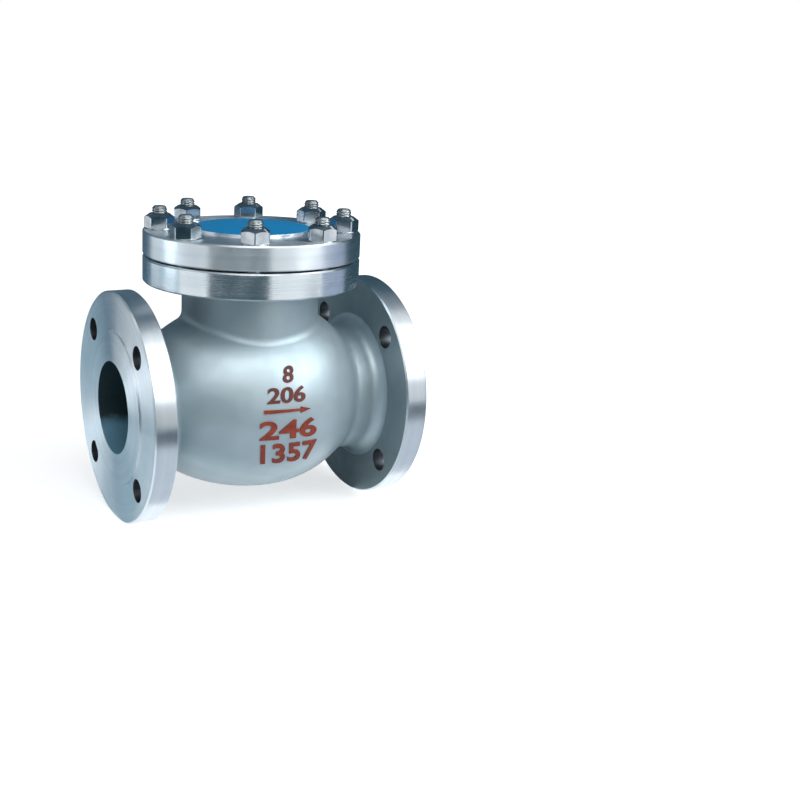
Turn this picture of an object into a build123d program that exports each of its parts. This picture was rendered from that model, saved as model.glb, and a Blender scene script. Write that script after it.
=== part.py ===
"""Flanged non-return valve of the swing type, in cast steel, for a 3 inch class 150 pipeline. Millimetres.

The flow runs along X, from the inlet at low X to the outlet at high X, and the cover is on top, at +Z.
The origin is the centre of the inlet's bolt circle, on the flange face that the raised face stands on.
A disc hangs from an arm behind a tilted seat. Flow lifts it about the hinge pin, and its weight closes it.
"""
from build123d import *

import os
from math import cos, isclose, radians, sin, sqrt, tan

# Pipe connection
face_to_face = 241.3
line_bore = 76.2
end_flange_diameter = 190.0
end_flange_thickness = 19.0
end_bolt_edge = 18.8  # from the flange's rim in to the bolt circle
end_bolt_hole = 19.05
end_bolt_count = 4
raised_face_edge = 3.175  # from the raised face's rim to the bolt holes
raised_face_height = 1.6
flange_edge_chamfer = 1.2

# Body casting
bowl_radius = 80.0
bowl_offset = 7.0  # the bowl's widest section, downstream of the cover's axis
bowl_lift = 2.0  # the bowl's own axis, above the pipe's
bowl_reach_upstream = 115.0
bowl_reach_downstream = 92.0
inlet_neck_wall = 11.9
outlet_neck_wall = 15.9
flange_root_fillet = 9.0
bowl_root_fillet = 9.0
body_wall = 11.5
bridge_height = 86.0  # top of the wall over the seat, above the pipe axis

# Cover joint
bonnet_neck_radius = 57.0
bonnet_neck_wall = 7.0
bonnet_neck_fillet = 9.0
bonnet_root_fillet = 4.0
bonnet_flange_diameter = 179.0
bonnet_flange_thickness = 21.0
joint_height = 119.2  # top of the body's upper flange, above the pipe axis
joint_gap = 1.6
spigot_radius = 58.0
spigot_clearance = 0.4
recess_depth = 5.0
gasket_thickness = 3.0
gasket_width = 6.5
cover_thickness = 19.6
cover_edge_chamfer = 1.2
boss_radius = 48.0
boss_height = 2.7
boss_crown = 2.0
boss_edge_fillet = 0.8

# Cover studs and heavy hexagon nuts
stud_count = 8
stud_edge = 14.0  # from the upper flange's rim in to the stud circle
stud_diameter = 12.7
stud_engagement = 16.0
stud_projection = 6.0
stud_tip_chamfer = 1.6
tapped_hole_spare = 1.2
stud_hole_clearance = 0.8
thread_clearance = 0.05
nut_across_flats = 22.2
nut_height = 12.3

# Seat
seat_tilt = 5.0
seat_offset = -36.0  # the seat's centre, measured from the cover's axis
seat_ring_shoulder = 2.5  # from the land's rim out to the ring's
seat_ring_length = 13.0
seat_ring_clearance = 0.05
seat_land_width = 5.4
seat_land_height = 1.5
spanner_slot_count = 4
spanner_slot_width = 6.0
spanner_slot_depth = 2.0

# Disc, its stem and its nut
closing_gap = 0.1
disc_radius = 45.0
disc_rim_thickness = 8.0
disc_rim_chamfer = 1.0
disc_hub_height = 12.0
disc_hub_radius = 15.0
disc_face_recess = 0.8
disc_facing_width = 8.0
stem_diameter = 16.0
disc_play = 0.2
disc_washer_radius = 14.5
disc_washer_thickness = 2.5
disc_nut_across_flats = 24.0
disc_nut_height = 9.0
stem_end_length = 7.0
stem_end_chamfer = 1.2

# Swing arm
pin_offset = -30.0  # the hinge pin, measured from the cover's axis
pin_height = 58.0
pin_diameter = 12.0
running_clearance = 0.05
arm_hub_radius = 11.0
arm_hub_width = 25.2
arm_neck_width = 22.0
arm_eye_radius = 16.0
arm_thickness = 9.3
arm_rib_thickness = 6.0
arm_rib_height = 5.0
opening_angle = 70.0
stop_gap = 0.2
stop_width = 14.0
stop_near = 9.0  # the stop's two faces, measured downstream from the hinge pin
stop_far = 15.0

# Hinge bracket and its fixings
side_play = 0.4
ear_thickness = 8.0
ear_radius = 9.0
bracket_rise = 14.0  # underside of the bracket's plate above the hinge pin
bracket_thickness = 8.0
bracket_pad_radius = 8.0
bracket_screw_x = -17.0  # measured from the cover's axis
bracket_screw_y = 36.5
screw_boss_radius = 9.0
screw_boss_reach = 6.5  # how far the boss runs out into the wall of the neck
screw_boss_length = 26.0
screw_boss_draft = 4.0
bracket_screw_diameter = 8.0
bracket_screw_length = 24.0
bracket_screw_head_height = 5.3
bracket_screw_across_flats = 13.0
screw_hole_clearance = 1.0
lock_washer_thickness = 2.0
lock_washer_radius = 7.2
lock_washer_split = 1.2
pin_washer_thickness = 1.5
pin_washer_radius = 10.0
pin_end_length = 5.0
pin_end_chamfer = 0.8
split_pin_diameter = 3.2
split_pin_clearance = 0.1
split_pin_leg = 5.0
split_pin_spread = 30.0
split_pin_eye_radius = 1.9
screw_end_chamfer = 0.8

# Places that follow from the sizes
cover_x = face_to_face / 2 - raised_face_height
outlet_x = face_to_face - 2 * raised_face_height
bowl_x = cover_x + bowl_offset
end_bolt_circle_diameter = end_flange_diameter - 2 * end_bolt_edge
raised_face_diameter = end_bolt_circle_diameter - end_bolt_hole - 2 * raised_face_edge
bore_radius = line_bore / 2
land_outer_radius = bore_radius + seat_land_width
seat_ring_radius = land_outer_radius + seat_ring_shoulder
inlet_neck_radius = bore_radius + inlet_neck_wall
outlet_neck_radius = bore_radius + outlet_neck_wall
bonnet_radius = bonnet_flange_diameter / 2
stud_circle_diameter = bonnet_flange_diameter - 2 * stud_edge
neck_bore_radius = bonnet_neck_radius - bonnet_neck_wall
bonnet_underside = joint_height - bonnet_flange_thickness
cover_underside = joint_height + joint_gap
cover_top = cover_underside + cover_thickness
recess_floor = joint_height - recess_depth
gasket_top = recess_floor + gasket_thickness
stud_radius = stud_diameter / 2
stem_radius = stem_diameter / 2
pin_radius = pin_diameter / 2
pin_x = cover_x + pin_offset
bracket_underside = pin_height + bracket_rise
bracket_top = bracket_underside + bracket_thickness
screw_x = cover_x + bracket_screw_x
ear_inner_y = arm_hub_width / 2 + side_play
ear_outer_y = ear_inner_y + ear_thickness
pin_washer_y = ear_outer_y + pin_washer_thickness
split_pin_y = pin_washer_y + split_pin_diameter / 2 + split_pin_clearance
split_pin_bore = split_pin_diameter / 2 + split_pin_clearance

# Distances from the seat's plane, along the disc's stem
arm_front = disc_hub_height + disc_play
arm_back = arm_front + arm_thickness
washer_front = arm_back + disc_play
nut_front = washer_front + disc_washer_thickness
nut_back = nut_front + disc_nut_height
stem_end = nut_back + stem_end_length

# The bowl's section, drawn below its axis so that the seam of what is turned lies underneath
bowl_section = Plane(origin=(bowl_x, 0, bowl_lift), x_dir=(1, 0, 0), z_dir=(0, 1, 0))
bowl_axis = Axis(bowl_section.origin, (1, 0, 0))
# The seat's plane: its Y runs up the seat, and its Z the way the disc leaves it
seat = Plane(
    origin=(cover_x + seat_offset, 0, 0),
    x_dir=(0, 1, 0),
    z_dir=(cos(radians(seat_tilt)), 0, sin(radians(seat_tilt))),
)
seat_axis = Axis(seat.origin, seat.z_dir)
# The same place seen from the side: its X runs the way the disc leaves the seat, and its Y up the seat
seat_side = Plane(origin=seat.origin, x_dir=seat.z_dir, z_dir=(0, -1, 0))
# The seat's section for turned pieces, drawn downwards from its axis
seat_section = Plane(origin=seat.origin, x_dir=seat.z_dir, z_dir=(0, 1, 0))
pin_on_seat = seat_side.to_local_coords(Vector(pin_x, 0, pin_height))
cover_plan = Plane(origin=(cover_x, 0, 0))


def draw_bowl(inset):
    """Draw half the outline of the bowl, or of the chamber that lies inside it by the inset."""
    radius = bowl_radius - inset
    upstream = EllipticalCenterArc((0, 0), bowl_reach_upstream - inset, radius, 90, arc_size=90)
    downstream = EllipticalCenterArc((0, 0), bowl_reach_downstream - inset, radius, 0, arc_size=90)
    Line(upstream @ 1, downstream @ 0)


def circles(part, radius):
    """The part's circular edges that have this radius."""
    rings = part.edges().filter_by(GeomType.CIRCLE)
    return rings.filter_by(lambda edge: isclose(edge.radius, radius, abs_tol=0.001))


def circles_at(part, axis, place):
    """The part's circular edges that lie at this place along the axis."""
    return part.edges().filter_by(GeomType.CIRCLE).filter_by_position(axis, place - 0.001, place + 0.001)


def hexagon(across_flats, height, crown_angle=30):
    """A hexagon head or nut without its bore, standing on Z = 0, with its top corners turned to a crown."""
    corner = across_flats / sqrt(3) + 1
    crown_start = across_flats / 2 * 0.95
    drop = (corner - crown_start) * tan(radians(crown_angle))
    with BuildPart() as blank:
        with BuildSketch():
            RegularPolygon(across_flats / 2, 6, major_radius=False)
        extrude(amount=height)
        with BuildSketch(Plane.XZ):
            with BuildLine():
                Polyline((crown_start, height), (corner, height), (corner, height - drop), close=True)
            make_face()
        revolve(axis=Axis.Z, mode=Mode.SUBTRACT)
    return blank.part


def split_pin(hole_length):
    """A split pin in a hole of this length below Z = 0, with its eye above and its legs spread below."""
    shank_radius = split_pin_diameter / 2
    wire_radius = shank_radius / 2
    eye_height = split_pin_eye_radius + wire_radius
    shank_end = Plane.XY.offset(-hole_length - split_pin_clearance)
    lean = radians(split_pin_spread)
    with BuildPart() as pin:
        with BuildSketch(shank_end):
            Circle(shank_radius)
        extrude(amount=hole_length + split_pin_clearance + wire_radius)
        for side in (-1, 1):
            with BuildSketch(shank_end):
                Circle(shank_radius)
                with Locations((-side * shank_radius, 0)):
                    Rectangle(split_pin_diameter, split_pin_diameter, mode=Mode.SUBTRACT)
            extrude(amount=split_pin_leg, dir=(side * sin(lean), 0, -cos(lean)))
        with BuildSketch(Plane.XY.offset(eye_height)):
            with Locations((split_pin_eye_radius, 0)):
                Circle(wire_radius)
        revolve(axis=Axis((0, 0, eye_height), (0, 1, 0)))
    return pin.part


# What the foundry's core leaves open: the chamber, the outlet's bore and the neck under the cover
chamber_back = seat.offset(-seat_land_height)
with BuildPart() as core:
    with BuildSketch(bowl_section):
        with BuildLine():
            draw_bowl(body_wall)
        make_face()
    revolve(axis=bowl_axis)
    with BuildSketch(Plane.YZ.offset(bowl_x)):
        Circle(bore_radius)
    extrude(amount=outlet_x + raised_face_height - bowl_x)
    with BuildSketch(cover_plan):
        Circle(neck_bore_radius)
    extrude(amount=joint_height)
    split(bisect_by=chamber_back, keep=Keep.TOP)
    with BuildSketch(cover_plan.offset(bridge_height)):
        Circle(neck_bore_radius)
    extrude(amount=joint_height - bridge_height)

# Body casting, with the screw bosses for the bracket inside its neck
end_faces = [
    Plane(origin=(0, 0, 0), x_dir=(0, 1, 0), z_dir=(-1, 0, 0)),
    Plane(origin=(outlet_x, 0, 0), x_dir=(0, 1, 0), z_dir=(1, 0, 0)),
]
with BuildPart() as valve_body:
    with BuildSketch(bowl_section):
        with BuildLine():
            draw_bowl(0)
        make_face()
    revolve(axis=bowl_axis)
    with BuildSketch(Plane.YZ):
        Circle(inlet_neck_radius)
    extrude(amount=bowl_x)
    with BuildSketch(Plane.YZ.offset(bowl_x)):
        Circle(outlet_neck_radius)
    extrude(amount=outlet_x - bowl_x)
    neck_ends = (end_flange_thickness, outlet_x - end_flange_thickness)
    neck_roots = valve_body.faces().filter_by(GeomType.CYLINDER).edges().filter_by(GeomType.LINE, reverse=True)
    neck_roots = neck_roots.filter_by(lambda edge: neck_ends[0] < edge.center().X < neck_ends[1])
    fillet(neck_roots, bowl_root_fillet)
    with BuildSketch(cover_plan):
        Circle(bonnet_neck_radius)
    extrude(amount=joint_height)
    neck_side = valve_body.faces().filter_by(GeomType.CYLINDER).sort_by(lambda face: face.center().Z)[-1]
    neck_foot = neck_side.edges().filter_by(lambda edge: edge.bounding_box().max.Z < joint_height - 1)
    fillet(neck_foot.filter_by(GeomType.LINE, reverse=True), bonnet_neck_fillet)

    # Pipe flanges, and the upper flange that the cover sits on
    for face in end_faces:
        with BuildSketch(face):
            Circle(end_flange_diameter / 2)
        extrude(amount=-end_flange_thickness)
    for flange_back in neck_ends:
        flange_root = circles_at(valve_body, Axis.X, flange_back).sort_by(Edge.radius.fget)[0]
        fillet(flange_root, flange_root_fillet)
    with BuildSketch(cover_plan.offset(bonnet_underside)):
        Circle(bonnet_flange_diameter / 2)
    extrude(amount=bonnet_flange_thickness)
    bonnet_root = circles_at(valve_body, Axis.Z, bonnet_underside).sort_by(Edge.radius.fget)[0]
    fillet(bonnet_root, bonnet_root_fillet)
    chamfer(circles(valve_body, end_flange_diameter / 2), flange_edge_chamfer)
    chamfer(circles(valve_body, bonnet_flange_diameter / 2), cover_edge_chamfer)
    for face in end_faces:
        with BuildSketch(face):
            Circle(raised_face_diameter / 2)
        extrude(amount=raised_face_height)
        with BuildSketch(face):
            with PolarLocations(end_bolt_circle_diameter / 2, end_bolt_count, start_angle=180 / end_bolt_count):
                Circle(end_bolt_hole / 2)
        extrude(amount=-end_flange_thickness, mode=Mode.SUBTRACT)

    # Waterways, and the seat ring's place
    add(core.part, mode=Mode.SUBTRACT)
    with BuildSketch(Plane.YZ.offset(-raised_face_height)):
        Circle(bore_radius)
    extrude(amount=raised_face_height + seat.origin.X - seat_ring_length / 2, mode=Mode.SUBTRACT)
    with BuildSketch(chamber_back):
        Circle(seat_ring_radius + seat_ring_clearance)
    extrude(amount=-seat_ring_length, mode=Mode.SUBTRACT)

    # Recess for the cover's spigot, and the tapped holes round it
    with BuildSketch(cover_plan.offset(joint_height)):
        Circle(spigot_radius + spigot_clearance)
    extrude(amount=-recess_depth, mode=Mode.SUBTRACT)
    with BuildSketch(cover_plan.offset(joint_height)):
        with PolarLocations(stud_circle_diameter / 2, stud_count, start_angle=180 / stud_count):
            Circle(stud_radius + thread_clearance)
    extrude(amount=-stud_engagement - tapped_hole_spare, mode=Mode.SUBTRACT)

    # Screw bosses, which run out into the wall of the neck
    for side in (-1, 1):
        screw_place = Vector(bracket_screw_x, side * bracket_screw_y)
        with BuildSketch(cover_plan.offset(bracket_underside)):
            with Locations(screw_place, screw_place + screw_place.normalized() * screw_boss_reach):
                Circle(screw_boss_radius)
            make_hull()
        extrude(amount=-screw_boss_length, taper=screw_boss_draft)
    with BuildSketch(cover_plan.offset(bracket_underside)):
        with Locations((bracket_screw_x, -bracket_screw_y), (bracket_screw_x, bracket_screw_y)):
            Circle(bracket_screw_diameter / 2 + thread_clearance)
    screw_depth = bracket_screw_length - bracket_thickness - lock_washer_thickness
    extrude(amount=-screw_depth - tapped_hole_spare, mode=Mode.SUBTRACT)

# Seat ring, whose raised land the disc closes on
with BuildPart() as seat_ring:
    with BuildSketch(seat_section):
        with BuildLine():
            Polyline(
                (-seat_land_height - seat_ring_length, bore_radius),
                (-seat_land_height - seat_ring_length, seat_ring_radius),
                (-seat_land_height, seat_ring_radius),
                (-seat_land_height, land_outer_radius),
                (0, land_outer_radius),
                (0, bore_radius),
                close=True,
            )
        make_face()
    revolve(axis=seat_axis)
    with BuildSketch(chamber_back):
        with PolarLocations((land_outer_radius + seat_ring_radius) / 2, spanner_slot_count):
            Rectangle(seat_ring_radius - land_outer_radius, spanner_slot_width)
    extrude(amount=-spanner_slot_depth, mode=Mode.SUBTRACT)

# Cover: a blind round plate with a spigot below and a low domed boss on top
with BuildPart() as cover:
    with BuildSketch(cover_plan.offset(cover_underside)):
        Circle(bonnet_radius)
    extrude(amount=cover_thickness)
    chamfer(circles(cover, bonnet_radius), cover_edge_chamfer)
    with BuildSketch(cover_plan.offset(gasket_top)):
        Circle(spigot_radius)
    extrude(amount=cover_underside - gasket_top)
    with BuildSketch(cover_plan.offset(cover_underside)):
        with PolarLocations(stud_circle_diameter / 2, stud_count, start_angle=180 / stud_count):
            Circle((stud_diameter + stud_hole_clearance) / 2)
    extrude(amount=cover_thickness, mode=Mode.SUBTRACT)
    crown_top = cover_top + boss_height + boss_crown
    with BuildSketch(Plane(origin=(cover_x, 0, 0), x_dir=(1, 0, 0), z_dir=(0, -1, 0))):
        with BuildLine():
            wall = Line((boss_radius, cover_top), (boss_radius, cover_top + boss_height))
            crown = TangentArc((0, crown_top), wall @ 1, tangent=(1, 0))
            Polyline(crown @ 0, (0, cover_top), wall @ 0)
        make_face()
    revolve(axis=Axis(cover_plan.origin, (0, 0, 1)))
    fillet(circles(cover, boss_radius).sort_by(Axis.Z)[-1], boss_edge_fillet)

# Gasket that the spigot presses into the recess
with BuildPart() as cover_gasket:
    with BuildSketch(cover_plan.offset(recess_floor)):
        Circle(spigot_radius)
        Circle(spigot_radius - gasket_width, mode=Mode.SUBTRACT)
    extrude(amount=gasket_thickness)

# Studs tapped into the upper flange, and their nuts
with BuildPart() as cover_studs:
    with BuildSketch(cover_plan.offset(joint_height - stud_engagement)):
        with PolarLocations(stud_circle_diameter / 2, stud_count, start_angle=180 / stud_count):
            Circle(stud_radius)
    extrude(amount=cover_top + nut_height + stud_projection - joint_height + stud_engagement)
    chamfer(circles(cover_studs, stud_radius), stud_tip_chamfer)

cover_nut = hexagon(nut_across_flats, nut_height)
with BuildPart(cover_plan.offset(cover_top)) as cover_nuts:
    with PolarLocations(stud_circle_diameter / 2, stud_count, start_angle=180 / stud_count):
        add(cover_nut)
        Hole(stud_radius + thread_clearance)

# Bracket: a plate on the screw bosses, two ears for the hinge pin, and a stop that the open arm's rib meets
pin_side = Plane(origin=(pin_x, 0, pin_height), x_dir=(1, 0, 0), z_dir=(0, -1, 0))
open_tilt = radians(seat_tilt + opening_angle)
open_arm = Plane(origin=pin_side.origin, x_dir=(cos(open_tilt), 0, sin(open_tilt)), z_dir=(0, -1, 0))
rib_top = Vector(arm_back + arm_rib_height, arm_eye_radius + arm_rib_height)
stop_start = pin_side.to_local_coords(open_arm.from_local_coords(Vector(arm_hub_radius + stop_gap, 0)))
stop_end = pin_side.to_local_coords(open_arm.from_local_coords(rib_top - pin_on_seat + Vector(stop_gap, 0)))
stop_slope = (stop_end.Y - stop_start.Y) / (stop_end.X - stop_start.X)
screw_places = [(screw_x, -bracket_screw_y), (screw_x, bracket_screw_y)]
with BuildPart() as hinge_bracket:
    with BuildSketch(Plane.XY.offset(bracket_underside)):
        with Locations(*screw_places):
            Circle(bracket_pad_radius)
        with Locations((pin_x, 0)):
            Rectangle(2 * ear_radius, 2 * ear_outer_y)
        make_hull()
    extrude(amount=bracket_thickness)
    for ear_start in (-ear_outer_y, ear_inner_y):
        with BuildSketch(pin_side.offset(ear_start)):
            Circle(ear_radius)
            with Locations((0, bracket_rise / 2)):
                Rectangle(2 * ear_radius, bracket_rise)
        extrude(amount=ear_thickness)
    with BuildSketch(pin_side):
        with BuildLine():
            Polyline(
                (stop_near, bracket_rise),
                (stop_near, stop_start.Y + (stop_near - stop_start.X) * stop_slope),
                (stop_far, stop_start.Y + (stop_far - stop_start.X) * stop_slope),
                (stop_far, bracket_rise),
                close=True,
            )
        make_face()
    extrude(amount=stop_width / 2, both=True)
    with BuildSketch(pin_side):
        Circle(pin_radius + running_clearance)
    extrude(amount=ear_outer_y, both=True, mode=Mode.SUBTRACT)
    with BuildSketch(Plane.XY.offset(bracket_underside)):
        with Locations(*screw_places):
            Circle((bracket_screw_diameter + screw_hole_clearance) / 2)
    extrude(amount=bracket_thickness, mode=Mode.SUBTRACT)

# Screws and split washers that hold the bracket
with BuildPart() as bracket_lock_washers:
    with BuildSketch(Plane.XY.offset(bracket_top)):
        with Locations(*screw_places):
            Circle(lock_washer_radius)
            Circle((bracket_screw_diameter + screw_hole_clearance) / 2, mode=Mode.SUBTRACT)
    extrude(amount=lock_washer_thickness)
    with BuildSketch(Plane.XY.offset(bracket_top)):
        with Locations(*screw_places):
            with Locations((lock_washer_radius / 2 + bracket_screw_diameter / 4, 0)):
                Rectangle(lock_washer_radius, lock_washer_split)
    extrude(amount=lock_washer_thickness, mode=Mode.SUBTRACT)

screw_head_base = bracket_top + lock_washer_thickness
screw_head = hexagon(bracket_screw_across_flats, bracket_screw_head_height)
with BuildPart() as bracket_screws:
    with Locations(*[(x, y, screw_head_base) for x, y in screw_places]):
        add(screw_head)
    with BuildSketch(Plane.XY.offset(screw_head_base)):
        with Locations(*screw_places):
            Circle(bracket_screw_diameter / 2)
    extrude(amount=-bracket_screw_length)
    chamfer(circles(bracket_screws, bracket_screw_diameter / 2).group_by(Axis.Z)[0], screw_end_chamfer)

# Hinge pin, the washers outside the ears, and the split pins that keep them
with BuildPart() as hinge_pin:
    with BuildSketch(pin_side):
        Circle(pin_radius)
    extrude(amount=pin_washer_y + pin_end_length, both=True)
    chamfer(circles(hinge_pin, pin_radius), pin_end_chamfer)
    with BuildSketch(Plane.XY.offset(pin_height)):
        with Locations((pin_x, -split_pin_y), (pin_x, split_pin_y)):
            Circle(split_pin_bore)
    extrude(amount=pin_radius, both=True, mode=Mode.SUBTRACT)

with BuildPart() as hinge_pin_washers:
    for washer_start in (-pin_washer_y, ear_outer_y):
        with BuildSketch(pin_side.offset(washer_start)):
            Circle(pin_washer_radius)
            Circle(pin_radius + running_clearance, mode=Mode.SUBTRACT)
        extrude(amount=pin_washer_thickness)

with BuildPart() as hinge_pin_cotters:
    with Locations(*[(pin_x, y, pin_height + pin_radius) for y in (-split_pin_y, split_pin_y)]):
        add(split_pin(pin_diameter))

# Swing arm: a hub on the hinge pin, an eye round the disc's stem, and a rib down the back
with BuildPart() as swing_arm:
    with BuildSketch(seat.offset(arm_front)):
        Circle(arm_eye_radius)
        with Locations((0, pin_on_seat.Y - arm_hub_radius / 4)):
            Rectangle(arm_neck_width, arm_hub_radius / 2)
        make_hull()
    extrude(amount=arm_thickness)
    with BuildSketch(seat_side):
        with Locations(pin_on_seat):
            Circle(arm_hub_radius)
    extrude(amount=arm_hub_width / 2, both=True)
    with BuildSketch(seat_side):
        with BuildLine():
            Polyline(
                (arm_back, arm_eye_radius),
                (rib_top.X, rib_top.Y),
                (pin_on_seat.X + arm_hub_radius, pin_on_seat.Y),
                (pin_on_seat.X, pin_on_seat.Y),
                (arm_front, arm_eye_radius),
                close=True,
            )
        make_face()
    extrude(amount=arm_rib_thickness / 2, both=True)
    with BuildSketch(seat_side):
        with Locations(pin_on_seat):
            Circle(pin_radius + running_clearance)
    extrude(amount=arm_hub_width / 2, both=True, mode=Mode.SUBTRACT)
    with BuildSketch(seat.offset(arm_front)):
        Circle(stem_radius + running_clearance)
    extrude(amount=arm_thickness, mode=Mode.SUBTRACT)

# Disc in one piece with its facing and its stem
with BuildPart() as disc:
    with BuildSketch(seat_section):
        with BuildLine():
            Polyline(
                (closing_gap + disc_face_recess, 0),
                (closing_gap + disc_face_recess, disc_radius - disc_facing_width),
                (closing_gap, disc_radius - disc_facing_width),
                (closing_gap, disc_radius),
                (disc_rim_thickness, disc_radius),
                (disc_rim_thickness, disc_radius - disc_facing_width),
                (disc_hub_height, disc_hub_radius),
                (disc_hub_height, stem_radius),
                (stem_end, stem_radius),
                (stem_end, 0),
                close=True,
            )
        make_face()
    revolve(axis=seat_axis)
    chamfer(circles(disc, disc_radius), disc_rim_chamfer)
    chamfer(circles(disc, stem_radius).sort_by(seat_axis)[-1], stem_end_chamfer)
    split_pin_n = nut_back + split_pin_bore + split_pin_clearance
    disc_split_pin = Plane(
        origin=seat.from_local_coords(Vector(stem_radius, 0, split_pin_n)),
        x_dir=seat.y_dir,
        z_dir=seat.x_dir,
    )
    with BuildSketch(disc_split_pin):
        Circle(split_pin_bore)
    extrude(amount=-stem_diameter, mode=Mode.SUBTRACT)

# What holds the disc to the arm
with BuildPart() as disc_washer:
    with BuildSketch(seat.offset(washer_front)):
        Circle(disc_washer_radius)
        Circle(stem_radius + thread_clearance, mode=Mode.SUBTRACT)
    extrude(amount=disc_washer_thickness)

with BuildPart(seat.offset(nut_front)) as disc_nut:
    add(hexagon(disc_nut_across_flats, disc_nut_height))
    Hole(stem_radius + thread_clearance)

with BuildPart(disc_split_pin) as disc_cotter:
    add(split_pin(stem_diameter))

pieces = {
    "valve_body": valve_body,
    "seat_ring": seat_ring,
    "cover": cover,
    "cover_gasket": cover_gasket,
    "cover_studs": cover_studs,
    "cover_nuts": cover_nuts,
    "hinge_bracket": hinge_bracket,
    "bracket_screws": bracket_screws,
    "bracket_lock_washers": bracket_lock_washers,
    "hinge_pin": hinge_pin,
    "hinge_pin_washers": hinge_pin_washers,
    "hinge_pin_cotters": hinge_pin_cotters,
    "swing_arm": swing_arm,
    "disc": disc,
    "disc_washer": disc_washer,
    "disc_nut": disc_nut,
    "disc_cotter": disc_cotter,
}
os.makedirs("parts", exist_ok=True)
for name, piece in pieces.items():
    piece.part.label = name
    export_step(piece.part, f"parts/{name}.step")
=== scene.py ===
"""Looks of the flanged non-return valve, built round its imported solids."""
import math

import bmesh
import bpy
import numpy as np
from mathutils import Matrix, Vector
from mathutils.bvhtree import BVHTree


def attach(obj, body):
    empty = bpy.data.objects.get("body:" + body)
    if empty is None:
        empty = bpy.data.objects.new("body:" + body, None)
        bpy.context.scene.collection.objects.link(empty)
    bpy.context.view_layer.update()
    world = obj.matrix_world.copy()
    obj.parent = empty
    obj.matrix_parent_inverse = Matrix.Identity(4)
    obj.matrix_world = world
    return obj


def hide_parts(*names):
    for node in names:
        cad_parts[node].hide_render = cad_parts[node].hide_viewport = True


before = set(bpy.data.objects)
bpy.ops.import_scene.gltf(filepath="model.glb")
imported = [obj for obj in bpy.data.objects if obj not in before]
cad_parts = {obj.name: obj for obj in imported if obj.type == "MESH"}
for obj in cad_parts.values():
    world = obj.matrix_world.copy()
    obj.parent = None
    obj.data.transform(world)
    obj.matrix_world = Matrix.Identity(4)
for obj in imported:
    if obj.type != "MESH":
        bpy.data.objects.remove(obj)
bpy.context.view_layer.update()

scene = bpy.context.scene

# Sizes of the valve in metres, as in the part's source
flange_back = 0.0190
outlet_face = 0.2381
bore_radius = 0.0381
bolt_circle_radius = 0.0762
bolt_hole_radius = 0.009525
bowl_centre = Vector((0.12605, 0.0, 0.002))
bowl_reach_upstream = 0.115
bowl_reach_downstream = 0.092
bowl_radius = 0.080
cover_axis_x = 0.11905
cover_radius = 0.0895
joint_level = 0.1192
bonnet_underside = 0.0982
recess_radius = 0.0584
cover_top = 0.1404
boss_radius = 0.048
boss_top = 0.1431
stud_circle_radius = 0.0755
stud_radius = 0.00635
stud_foot = 0.1032
stud_end = 0.1587
nut_across_flats = 0.0222
nut_height = 0.0123
ground_level = -0.0950

# Details that only the looks have
stud_tip_chamfer = 0.0020
thread_pitch = 0.00195
thread_depth = 0.00075
mark_relief = 0.0008
mark_lean = 0.46

valve_centre = Vector((cover_axis_x, 0.0, 0.0))
pipe_axis = Vector((1.0, 0.0, 0.0))
upright = Vector((0.0, 0.0, 1.0))


# Finishes

class Finish:
    """One material: a Principled shader and the nodes that feed it."""

    def __init__(self, name, colour, metallic=0.0, roughness=0.5, **sockets):
        self.material = bpy.data.materials.new(name)
        self.material.use_nodes = True
        self.tree = self.material.node_tree
        self.shader = self.tree.nodes["Principled BSDF"]
        self.set(Base_Color=(*colour, 1.0), Metallic=metallic, Roughness=roughness)
        self.set(**sockets)
        self.material.diffuse_color = (*colour, 1.0)

    def set(self, **sockets):
        """Sets the shader's own sockets, named with _ in the place of spaces."""
        for name, value in sockets.items():
            self.shader.inputs[name.replace("_", " ")].default_value = value

    def node(self, kind, settings=None, **inputs):
        """A node with its inputs set or linked, each by its name, or as i and its number."""
        made = self.tree.nodes.new(kind)
        for name, value in (settings or {}).items():
            setattr(made, name, value)
        for name, value in inputs.items():
            by_number = name[0] == "i" and name[1:].isdigit()
            socket = made.inputs[int(name[1:]) if by_number else name]
            if isinstance(value, bpy.types.NodeSocket):
                self.tree.links.new(value, socket)
            else:
                socket.default_value = value
        return made

    def feed(self, socket_name, output):
        self.tree.links.new(output, self.shader.inputs[socket_name])

    def place(self):
        return self.node("ShaderNodeTexCoord").outputs["Object"]

    def noise(self, vector, scale, detail=4.0, roughness=0.5, distortion=0.0):
        return self.node("ShaderNodeTexNoise", Vector=vector, Scale=scale, Detail=detail,
                         Roughness=roughness, Distortion=distortion).outputs["Fac"]

    def spread(self, value, low, high, from_low=0.3, from_high=0.7):
        """Stretches a value's usual range to run from low to high."""
        made = self.node("ShaderNodeMapRange", Value=value)
        made.inputs["From Min"].default_value = from_low
        made.inputs["From Max"].default_value = from_high
        made.inputs["To Min"].default_value = low
        made.inputs["To Max"].default_value = high
        return made.outputs["Result"]

    def maths(self, operation, first, second=0.0):
        return self.node("ShaderNodeMath", {"operation": operation}, i0=first, i1=second).outputs[0]

    def vector_maths(self, operation, first, second=(0.0, 0.0, 0.0)):
        made = self.node("ShaderNodeVectorMath", {"operation": operation}, i0=first, i1=second)
        return made.outputs["Value" if operation in ("DOT_PRODUCT", "LENGTH") else "Vector"]

    def blend(self, factor, first, second):
        made = self.node("ShaderNodeMix", {"data_type": "RGBA"},
                         i0=factor, i6=(*first, 1.0), i7=(*second, 1.0))
        return made.outputs[2]

    def relief(self, height, distance, strength):
        made = self.node("ShaderNodeBump", Height=height, Distance=distance, Strength=strength)
        self.feed("Normal", made.outputs["Normal"])


steel_bright = (0.78, 0.83, 0.87)
steel_shade = (0.62, 0.69, 0.74)


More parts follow.
